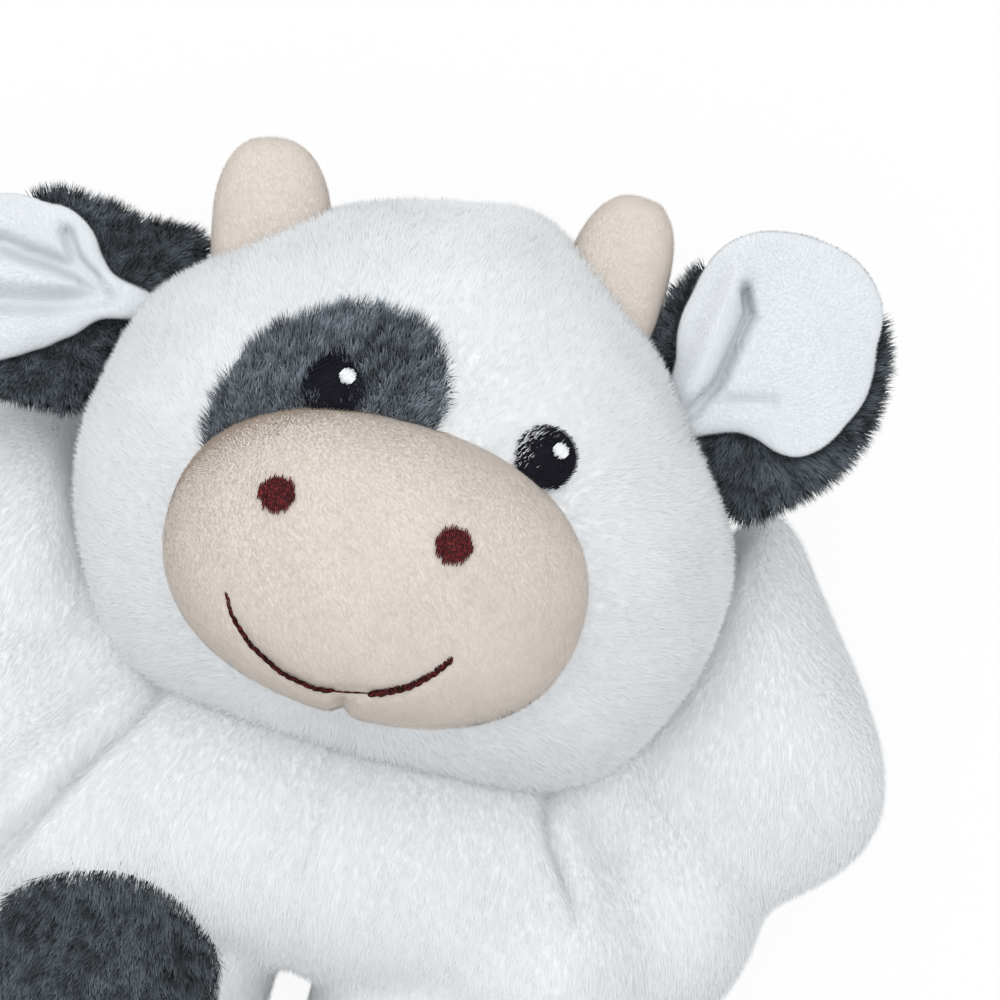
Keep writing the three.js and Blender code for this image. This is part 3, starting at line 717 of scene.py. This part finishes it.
# The root shares of these fabrics darken the roots as painted shade deep in the pile.
def white_fur():
    return pile_fabric("White pile", "white", (0.95, 0.95, 0.95), 0.025)


def peach_velour():
    return pile_fabric("Peach velour", "peach", (0.94, 0.9, 0.87), 0.05)


def white_velour():
    return pile_fabric("White velour", "lining", (0.93, 0.93, 0.93), 0.025)


def dark_fur(name="Slate pile", share=1.0):
    tip = tuple(c * share for c in bpy.context.scene.plush_colours.slate)
    # The near-black root colour is painted shade deep in the dark pile.
    return bpy.data.materials.get(name) or pile_material(
        name, (0.01, 0.013, 0.016), tip, 0.95, bend=1.8)


def deep_fur():
    return dark_fur("Deep slate pile", 0.6)


def bared(obj, rule, rest_height=REST_HEIGHT):
    """Keeps the pile off the places that a rule picks, and off those below the rest height."""
    places = (v.co / MM for v in obj.data.vertices)
    marked(obj, "bare", [float(p.z < rest_height or rule(p)) for p in places])


def inside(p, shape, share=1.0):
    """Whether a place is within a share of an outline, given as its points and middle."""
    outline, middle = shape
    return share_out(p.x, p.y, middle, outline_reach(outline, middle)) < share


def line_distance(p, line):
    """How far a place lies from a line of points, seen from the front, and how far along."""
    best, along, done = 1e9, 0.0, 0.0
    total = sum((Vector(b) - Vector(a)).length for a, b in zip(line, line[1:]))
    for a, b in zip(line, line[1:]):
        a, b = Vector(a), Vector(b)
        step = b - a
        share = max(0.0, min(1.0, (p.xy - a).dot(step) / step.length_squared))
        gap = (p.xy - a - step * share).length
        if gap < best:
            best, along = gap, (done + share * step.length) / total
        done += step.length
    return best, along


def creased(bm, line, depth, width, front_height=FRONT_HEIGHT):
    """Draws the front of a skin in along a line, as a seam or a fold does."""
    for v in bm.verts:
        p = v.co / MM
        if p.z > front_height and v.normal.z > -0.2:
            gap, along = line_distance(p, line)
            if gap < width * 3:
                fade = sin(pi * min(max(along, 0.04), 0.96)) ** 0.5
                v.co -= v.normal * depth * MM * fade * np.exp(-(gap / width) ** 2)


class PLUSH_OT_body(bpy.types.Operator):
    """Torso, arms and legs in one skin, cut at the hips and shoulders, with white pile"""
    bl_idname = "plush.body"
    bl_label = "Body, arms and legs"

    def execute(self, context):
        bm = bmesh.new()
        ball(bm, (0, 5, 32.5), (106, 50, 66), squareness=2.4, taper=0.1)
        for side, name in ((1, "left"), (-1, "right")):
            hull_of(bm, f"leg_{name}")
            hull_of(bm, f"arm_{name}")
            for (x, y, z), shift, size, squareness in STUFFING:
                ball(bm, (side * x + shift, y, z), size, squareness)
        ball(bm, (1.2, -9, 36), (26, 24, 32))
        whole = piece("skin", bm)
        relaxed(whole, voxel=1.6, rounds=60, swell=1.4)
        bm = bmesh.new()
        bm.from_mesh(whole.data)
        bm.normal_update()
        for line, depth, width in FOLDS:
            creased(bm, line, depth, width)
        for v in bm.verts:
            shares = [near(v.co / MM, Vector(middle), radius) for middle, radius, _ in PUSHES]
            for share, (*_, shift) in zip(shares, PUSHES):
                v.co += Vector(shift) * share * MM
            v.co.z = max(v.co.z, BODY_BOTTOM * MM)
        for place, facing in CUTS:
            bmesh.ops.bisect_plane(bm, geom=[*bm.verts, *bm.edges, *bm.faces],
                                   plane_co=Vector(place) * MM, plane_no=facing, dist=1e-7)
        bm.normal_update()
        uncut = bm.verts.layers.float_vector.new("uncut")
        for v in bm.verts:
            v[uncut] = v.normal
        bm.to_mesh(whole.data)
        self.spot(BVHTree.FromBMesh(bm))
        bm.free()
        for seed, name in enumerate(PARTS, 21):
            obj = self.cut(whole, name)
            # The limbs lift off the floor, so they carry pile underneath too.
            bared(obj, lambda p: p.z > FRONT_HEIGHT and inside(p, SPOT, 0.95),
                  REST_HEIGHT if name == "torso" else 0)
            with_pile(obj, "white", WHITE_LIE, (0, 320, 90), seed)
        bpy.data.objects.remove(whole)
        torso = bpy.data.objects["torso_plush"]
        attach(torso, "torso")
        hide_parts("body_cover", "belly_filling_front", "belly_filling_back")
        for name in PARTS:
            obj = bpy.data.objects[f"{name}_plush"]
            if obj != torso:
                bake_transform(obj)
                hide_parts(name)
        return {"FINISHED"}

    def spot(self, skin):
        """The dark spot, laid on the front of the right leg."""
        def height(place, side, puff):
            start = Vector((place.x, place.y, 200)) * MM
            found = skin.ray_cast(start, Vector((0, 0, -1)))[0] or skin.find_nearest(start)[0]
            return found.z / MM - PATCH_SINK

        spot = piece("leg_spot_pile", leaf(*SPOT, height, PATCH_THICKNESS), deep_fur())
        with_pile(spot, "dark", DARK_LIE, (-35, 60, 40), 62)
        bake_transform(spot)
        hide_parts("leg_spot")

    def cut(self, whole, name):
        """One closed part of the whole skin, cut flat where it joins the others."""
        bm = bmesh.new()
        bm.from_mesh(whole.data)
        layer = bm.faces.layers.bool.new("cap")
        for (place, facing), side in zip(CUTS, PARTS[name]):
            if side:
                bmesh.ops.bisect_plane(bm, geom=[*bm.verts, *bm.edges, *bm.faces], dist=1e-6,
                                       plane_co=Vector(place) * MM, plane_no=Vector(facing) * side,
                                       clear_inner=True)
                edges = [e for e in bm.edges if e.is_boundary]
                caps = bmesh.ops.holes_fill(bm, edges=edges)["faces"]
                for face in caps:
                    face[layer] = True
                bmesh.ops.triangulate(bm, faces=caps)
        return piece(f"{name}_plush", bm, white_fur())


class PLUSH_OT_head(bpy.types.Operator):
    """The head, with white pile round the muzzle, the patch and the eyes"""
    bl_idname = "plush.head"
    bl_label = "Head"

    def execute(self, context):
        bm = bmesh.new()
        ball(bm, HEAD_MIDDLE, HEAD_SIZE, HEAD_SQUARENESS, levels=6)
        half = Vector(HEAD_SIZE).xy / 2
        for v in bm.verts:
            v.co.z = max(v.co.z, HEAD_BOTTOM * MM)
            away = v.co.xy / MM - HEAD_MIDDLE.xy
            if away.length > 0.01:
                spans = (abs(a / b) ** HEAD_SQUARENESS for a, b in zip(away, half))
                share = sum(spans) ** (1 / HEAD_SQUARENESS)
                reach = away.length / head_share(HEAD_MIDDLE.xy + away)
                v.co.xy = (HEAD_MIDDLE.xy + away.normalized() * share * reach) * MM
        head = piece("head_plush", bm, white_fur())
        bared(head, lambda p: in_muzzle(p) or p.z > HEAD_MIDDLE.z and (
            inside(p, PATCH, 0.96)
            or (p.xy - LEFT_EYE - SUNK_WAY * 1.4).length < EYE_RADIUS * BARE_EYE))
        with_pile(head, "white", WHITE_LIE, (-1.5, 50, 60), 41)
        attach(head, "head")
        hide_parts("head_cover", "head_filling")
        return {"FINISHED"}


def in_muzzle(p):
    """Whether a place lies inside the muzzle."""
    spans = [(a - b) / (s / 2) for a, b, s in zip(p, MUZZLE_MIDDLE, MUZZLE_SIZE)]
    return sum(abs(span) ** MUZZLE_SQUARENESS for span in spans) < 0.95


def head_share(place):
    """How far out over the head a place on the face lies: 1 on its outline."""
    middle = tuple(HEAD_MIDDLE.xy)
    return share_out(*place, middle, outline_reach(HEAD_OUTLINE, middle))


def head_front(place):
    """Height of the head's front over a place on the face."""
    rest = max(1 - head_share(place.xy) ** HEAD_SQUARENESS, 0)
    return HEAD_MIDDLE.z + HEAD_SIZE[2] / 2 * rest ** (1 / HEAD_SQUARENESS)


def muzzle_front(place):
    """Height of the muzzle's front over a place on the face."""
    spans = ((a - b) * 2 / size for a, b, size in zip(place.xy, MUZZLE_MIDDLE, MUZZLE_SIZE))
    rest = max(1 - sum(abs(span) ** MUZZLE_SQUARENESS for span in spans), 0)
    return MUZZLE_MIDDLE.z + MUZZLE_SIZE[2] / 2 * rest ** (1 / MUZZLE_SQUARENESS)


class PLUSH_OT_muzzle(bpy.types.Operator):
    """The muzzle and the horns, in peach velour"""
    bl_idname = "plush.muzzle"
    bl_label = "Muzzle and horns"

    def execute(self, context):
        bm = bmesh.new()
        ball(bm, MUZZLE_MIDDLE, MUZZLE_SIZE, MUZZLE_SQUARENESS, levels=7)
        bm.normal_update()
        for line, depth, width in ((SMILE, 0.7, 1.1), (CHIN_PINCH, 1.5, 1.5)):
            creased(bm, line, depth, width, MUZZLE_FRONT_HEIGHT)
        muzzle = piece("muzzle_velour", bm, peach_velour())
        self.finish(muzzle, "muzzle", (-200, 260, 60), 31)
        for seed, (name, (tip, lean, width)) in enumerate(HORNS.items(), 32):
            bm = bmesh.new()
            verts = ball(bm, (0, -HORN_LENGTH / 2, 0), (width, HORN_LENGTH, HORN_DEPTH),
                         HORN_SQUARENESS, HORN_TAPER, levels=5)
            bmesh.ops.rotate(bm, verts=verts, matrix=Matrix.Rotation(-radians(lean), 3, "Z"))
            bmesh.ops.translate(bm, verts=verts, vec=Vector(tip) * MM)
            horn = piece(f"{name}_velour", bm, peach_velour())
            self.finish(horn, name, (0, 40, 48), seed)
        return {"FINISHED"}

    def finish(self, obj, node, away_from, seed):
        with_pile(obj, "velour", PEACH_LIE, away_from, seed)
        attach(obj, "head")
        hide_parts(node)


class PLUSH_OT_ears(bpy.types.Operator):
    """Both ears: dark pile behind, white velour in front"""
    bl_idname = "plush.ears"
    bl_label = "Ears"

    def execute(self, context):
        for seed, (name, ear) in enumerate(EARS.items(), 51):
            hinge, across = Vector(ear["hinge"]), Vector(ear["across"])

            def cupped(place):
                return EAR_HEIGHT + EAR_CUP * ((place - hinge).dot(across) / 20) ** 2

            def covered(p):
                front = p.z > cupped(p.xy)
                return inside(p, ear["lining"]) and (front or not inside(p, ear["lining"], 0.86))

            def folded(place, side, puff):
                dip = sum(depth * np.exp(-(line_distance(place, line)[0] / width) ** 2)
                          for line, depth, width in ear["folds"])
                drawn_in = puff * min(dip, DEEPEST_FOLD) if side > 0 else 0
                return cupped(place) + LINING_LIFT - drawn_in

            fur = leaf(*ear["back"], lambda place, *_: cupped(place), EAR_THICKNESS, inset=1.0)
            back = piece(f"ear_{name}_pile", fur, deep_fur())
            bared(back, covered)
            middle = (*ear["back"][1], EAR_HEIGHT)
            # Halfway up the ramp: the bare skin of the ear's back gets part of the roots' painted
            # shade.
            with_pile(back, "dark", EAR_LIE, middle, seed, skin_tone=0.5)
            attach(back, f"ear_{name}")
            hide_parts(f"ear_{name}_back")
            lining = leaf(*ear["lining"], folded, LINING_THICKNESS)
            front = piece(f"ear_{name}_velour", lining, white_velour())
            root = (*ear["hinge"], EAR_HEIGHT)
            with_pile(front, "velour", LINING_LIE, root, seed + 4, short=0.7)
            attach(front, f"ear_{name}")
            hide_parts(f"ear_{name}_lining")
        return {"FINISHED"}


class PLUSH_OT_patch(bpy.types.Operator):
    """The dark patch over one eye"""
    bl_idname = "plush.patch"
    bl_label = "Eye patch"

    def execute(self, context):
        fur = leaf(*PATCH, lambda place, *_: head_front(place) - PATCH_SINK,
                   PATCH_THICKNESS, inset=0.8)
        patch = piece("eye_patch_pile", fur, dark_fur())
        bared(patch, lambda p: in_muzzle(p) or (p.xy - RIGHT_EYE).length < EYE_RADIUS * BARE_EYE)
        with_pile(patch, "dark", DARK_LIE, (-12, 40, 60), 61)
        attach(patch, "head")
        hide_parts("eye_patch")
        return {"FINISHED"}


class PLUSH_OT_face(bpy.types.Operator):
    """Threads of the eyes, nostrils and mouth"""
    bl_idname = "plush.face"
    bl_label = "Stitched face"

    def execute(self, context):
        colours = context.scene.plush_colours
        maroon = thread_material("Maroon thread", colours.maroon, (0.24, 0.03, 0.03))
        deep = tuple(c * 0.3 for c in colours.maroon)
        brown = thread_material("Mouth thread", deep, (0.16, 0.02, 0.02))
        black = thread_material("Black thread", colours.black, (0.014, 0.014, 0.02))
        white = thread_material("White thread", (0.8, 0.82, 0.85), (0.95, 0.95, 0.95))
        dice = Random(7)
        for name, (middle, shine, lift, tilt) in EYES.items():
            def front(place):
                return head_front(place) + (place - middle).dot(SUNK_WAY) * tilt

            eye = satin(middle, EYE_RADIUS, front, lift, radians(35), 0.3, 0.5, dice,
                        pointed=name == "right")
            eye = piece(f"eye_{name}_thread", eye, black)
            self.finish(eye, f"eye_{name}", "black_thread")
            glint = satin(middle + shine, GLINT_RADIUS, front, lift + 0.6,
                          radians(60), 0.28, 0.5, dice)
            glint = piece(f"glint_{name}_thread", glint, white)
            self.finish(glint, f"glint_{name}", "white_thread")
        for name, middle in NOSTRILS.items():
            pad = satin(middle, NOSTRIL_RADIUS, muzzle_front, 0.0, radians(95), 0.3, 0.9, dice)
            self.finish(piece(f"{name}_thread", pad, maroon), name, "maroon_thread")
        smile = piece("mouth_thread", self.smile(dice), brown)
        self.finish(smile, "mouth_stitch", "maroon_thread")
        return {"FINISHED"}

    def smile(self, dice):
        """The mouth: a row of slanted stitches at either side and a thin run between them."""
        bm = bmesh.new()
        steps = [0.0]
        for a, b in zip(SMILE, SMILE[1:]):
            steps.append(steps[-1] + (Vector(b) - Vector(a)).length)
        xs, ys = zip(*SMILE)
        total = steps[-1]
        plain_start, plain_end = 22.0, 28.5
        at, stitch = 0.0, 1.45
        while at < total:
            end = min(at + stitch * 1.25, total)
            pair = [Vector((np.interp(t, steps, xs), np.interp(t, steps, ys))) for t in (at, end)]
            slant = (pair[1] - pair[0]).orthogonal().normalized() * 0.22
            thin = plain_start < at < plain_end
            width = 0.35 if thin else 0.8 if at < plain_start else 1.2
            sunk = 0.75 if thin else 0.35
            for place, side in zip(pair, (-1, 1)):
                place += slant * side * (0 if thin else width)
            ends = [(*place, muzzle_front(place) - sunk + dice.uniform(0, 0.1)) for place in pair]
            thread(bm, *ends, width)
            at += stitch
        return bm

    def finish(self, obj, node, slot):
        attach(obj, "head")
        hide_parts(node)


class PLUSH_OT_rattle(bpy.types.Operator):
    """The capsule and its balls, hidden in the belly"""
    bl_idname = "plush.rattle"
    bl_label = "Rattle"

    def execute(self, context):
        shell = moulded_material("Capsule plastic", (0.72, 0.78, 0.81), 0.35)
        bead = moulded_material("Ball plastic", (0.6, 0.08, 0.05), 0.4)
        for node in ("capsule_front", "capsule_back"):
            frame["nodes"][node].data.materials[0] = shell
        for i in range(1, 6):
            frame["nodes"][f"rattle_ball_{i}"].data.materials[0] = bead
        return {"FINISHED"}


class PLUSH_OT_stage(bpy.types.Operator):
    """Floor, light and camera"""
    bl_idname = "plush.stage"
    bl_label = "Stage"

    def execute(self, context):
        scene = context.scene
        bm = bmesh.new()
        bmesh.ops.create_grid(bm, x_segments=1, y_segments=1, size=3)
        mat, tree, surface = shader("Pale floor")
        surface.inputs["Base Color"].default_value = (0.86, 0.86, 0.86, 1)
        surface.inputs["Roughness"].default_value = 0.9
        glow = wire(tree, "ShaderNodeEmission", {"Color": (1, 1, 1, 1), "Strength": 1.0})
        ray = wire(tree, "ShaderNodeLightPath")
        seen = maths(tree, "MAXIMUM", ray.outputs["Is Camera Ray"], ray.outputs["Is Glossy Ray"])
        seen = maths(tree, "MAXIMUM", seen, ray.outputs["Is Transmission Ray"])
        share = maths(tree, "MULTIPLY", seen, 0.93)
        mix = wire(tree, "ShaderNodeMixShader",
                   {0: share, 1: surface.outputs[0], 2: glow.outputs[0]})
        tree.links.new(mix.outputs[0], tree.nodes["Material Output"].inputs["Surface"])
        floor = piece("floor", bm, mat)

        world = bpy.data.worlds.new("Studio")
        scene.world = world
        world.use_nodes = True
        tree = world.node_tree
        back = tree.nodes["Background"]
        back.inputs["Color"].default_value = (0.96, 0.98, 1.0, 1)
        back.inputs["Strength"].default_value = 0.77
        white = wire(tree, "ShaderNodeBackground", {"Color": (1, 1, 1, 1), "Strength": 1.0})
        ray = wire(tree, "ShaderNodeLightPath")
        mix = wire(tree, "ShaderNodeMixShader",
                   {0: ray.outputs["Is Camera Ray"], 1: back.outputs[0], 2: white.outputs[0]})
        tree.links.new(mix.outputs[0], tree.nodes["World Output"].inputs["Surface"])

        data = bpy.data.lights.new("Key", "AREA")
        data.shape = "DISK"
        data.size = 1.6
        data.energy = 6.8
        key = bpy.data.objects.new("Key", data)
        key.location = (-0.08, 0.25, 0.95)
        aim = Vector((0, 0.05, 0.03)) - key.location
        key.rotation_euler = aim.to_track_quat("-Z", "Y").to_euler()
        scene.collection.objects.link(key)

        lens = bpy.data.cameras.new("Camera")
        lens.lens = 83.5
        lens.sensor_width = 36
        lens.clip_start = 0.01
        camera = bpy.data.objects.new("Camera", lens)
        camera.location = (0.0132, 0.0665, 0.445)
        camera.rotation_euler = (0, 0, radians(16))
        scene.collection.objects.link(camera)
        scene.camera = camera
        scene.view_settings.view_transform = "Standard"
        return {"FINISHED"}


class PLUSH_PT_panel(bpy.types.Panel):
    """The toy's pieces, sizes and colours"""
    bl_label = "Plush cow"
    bl_idname = "PLUSH_PT_panel"
    bl_space_type = "VIEW_3D"
    bl_region_type = "UI"
    bl_category = "Plush cow"

    def draw(self, context):
        for group in (context.scene.plush_pile, context.scene.plush_colours):
            for name in group.bl_rna.properties.keys():
                if name not in ("rna_type", "name"):
                    self.layout.prop(group, name)
        for step in STEPS:
            self.layout.operator(step.bl_idname)


STEPS = (
    PLUSH_OT_body, PLUSH_OT_head, PLUSH_OT_muzzle, PLUSH_OT_ears,
    PLUSH_OT_patch, PLUSH_OT_face, PLUSH_OT_rattle, PLUSH_OT_stage,
)
CLASSES = (PileSettings, PlushColours, *STEPS, PLUSH_PT_panel)


def register():
    for cls in CLASSES:
        bpy.utils.register_class(cls)
    bpy.types.Scene.plush_pile = bpy.props.PointerProperty(type=PileSettings)
    bpy.types.Scene.plush_colours = bpy.props.PointerProperty(type=PlushColours)


def unregister():
    del bpy.types.Scene.plush_colours
    del bpy.types.Scene.plush_pile
    for cls in reversed(CLASSES):
        bpy.utils.unregister_class(cls)


def main():
    register()
    for step in STEPS:
        group, name = step.bl_idname.split(".")
        getattr(getattr(bpy.ops, group), name)()
    strand = bpy.data.objects.get("strand")
    if strand:
        bpy.data.objects.remove(strand)


if __name__ == "__main__":
    main()
